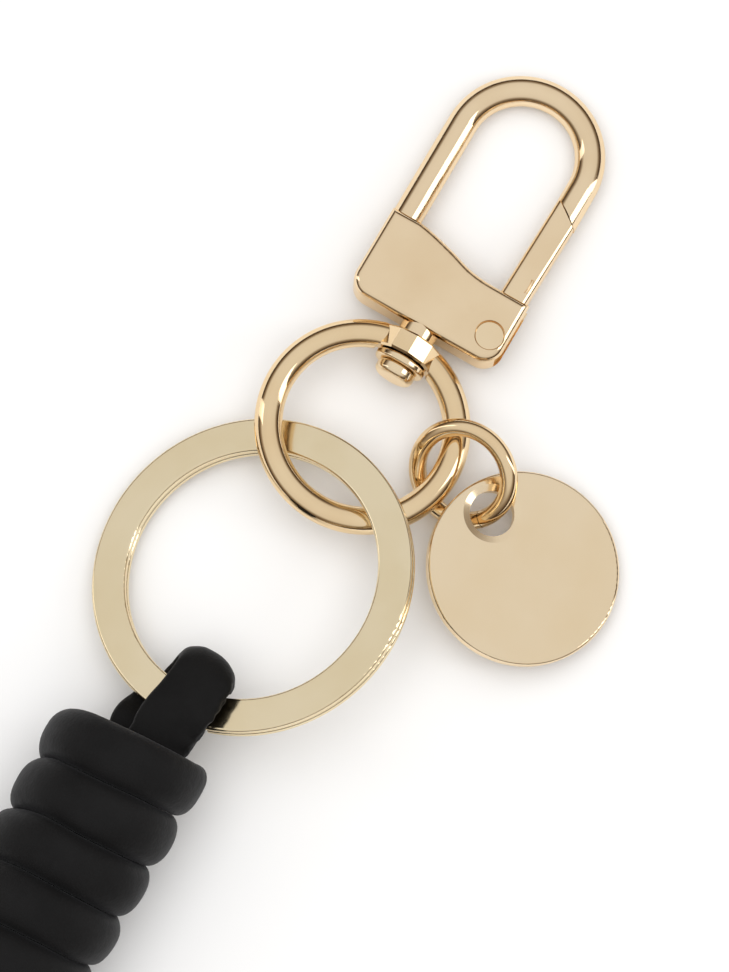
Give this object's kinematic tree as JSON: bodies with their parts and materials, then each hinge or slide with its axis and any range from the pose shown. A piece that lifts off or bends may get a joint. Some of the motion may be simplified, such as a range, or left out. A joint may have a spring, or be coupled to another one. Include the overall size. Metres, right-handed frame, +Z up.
{
  "type": "wristlet keychain",
  "caption": "Wrist strap keychain: a snap hook with swivel ring, a split key ring, a small round charm and a padded leather wrist loop with a coiled knot.",
  "frame": {"origin": "centre of the table footprint of everything but the wrist loop, on the table", "axes": "+Z up from the table, +Y from the wrist loop towards the hook, +X to the gate side of the hook"},
  "size_m": [0.0565, 0.2677, 0.0178],
  "materials": {
    "hook_metal": "polished pale gold plating",
    "rivet_metal": "polished pale gold plating",
    "ring_metal": "polished pale gold plating",
    "key_ring_metal": "polished pale gold plating",
    "charm_metal": "polished pale gold plating",
    "strap_leather": "matte black, fine grain, raw fibrous edge",
    "cord_leather": "matte black, fine grain"
  },
  "bodies": {
    "hook": {"hook_body": "hook_metal", "gate_rivet": "rivet_metal", "swivel_stud": "rivet_metal", "swivel_washer": "hook_metal"},
    "gate": {"gate": "hook_metal"},
    "swivel": {"swivel_ring": "ring_metal"},
    "key_ring": {"key_ring": "key_ring_metal"},
    "jump_ring": {"jump_ring": "ring_metal"},
    "charm": {"disc_charm": "charm_metal"},
    "wristlet": {"hanger_loop": "strap_leather", "knot_core": "cord_leather", "knot_wrap": "cord_leather", "wrist_loop": "cord_leather"}
  },
  "joints": [
    {"name": "gate_hinge", "type": "hinge", "parent": "hook", "child": "gate", "pos_m": [0.00007, 0.03393, 0.0041], "axis": [0, 0.0906, 0.9959], "range_deg": [0, 25], "stiffness_Nm_per_rad": 0.02, "springref_deg": -20.05},
    {"name": "swivel_turn", "type": "hinge", "parent": "hook", "child": "swivel", "pos_m": [-0.00683, 0.02994, 0.00446], "axis": [0, 0.9959, -0.0906], "continuous": true},
    {"name": "key_ring_slide", "type": "hinge", "parent": "swivel", "child": "key_ring", "pos_m": [-0.00683, 0.01897, 0.00546], "axis": [0.1219, 0.09, 0.9885], "range_deg": [-40, 15]},
    {"name": "jump_ring_swing", "type": "hinge", "parent": "swivel", "child": "jump_ring", "pos_m": [0.00321, 0.01973, 0.00416], "axis": [-0.086, 0.9931, -0.0798], "range_deg": [-25, 8]},
    {"name": "charm_swing", "type": "hinge", "parent": "jump_ring", "child": "charm", "pos_m": [0.00962, 0.01775, 0.0039], "axis": [0.4367, 0.6989, 0.5665], "range_deg": [-8, 40]},
    {"name": "wristlet_swing", "type": "hinge", "parent": "key_ring", "child": "wristlet", "pos_m": [-0.00758, -0.01642, 0.00763], "axis": [0.9553, 0, 0.2956], "range_deg": [-20, 15]}
  ]
}
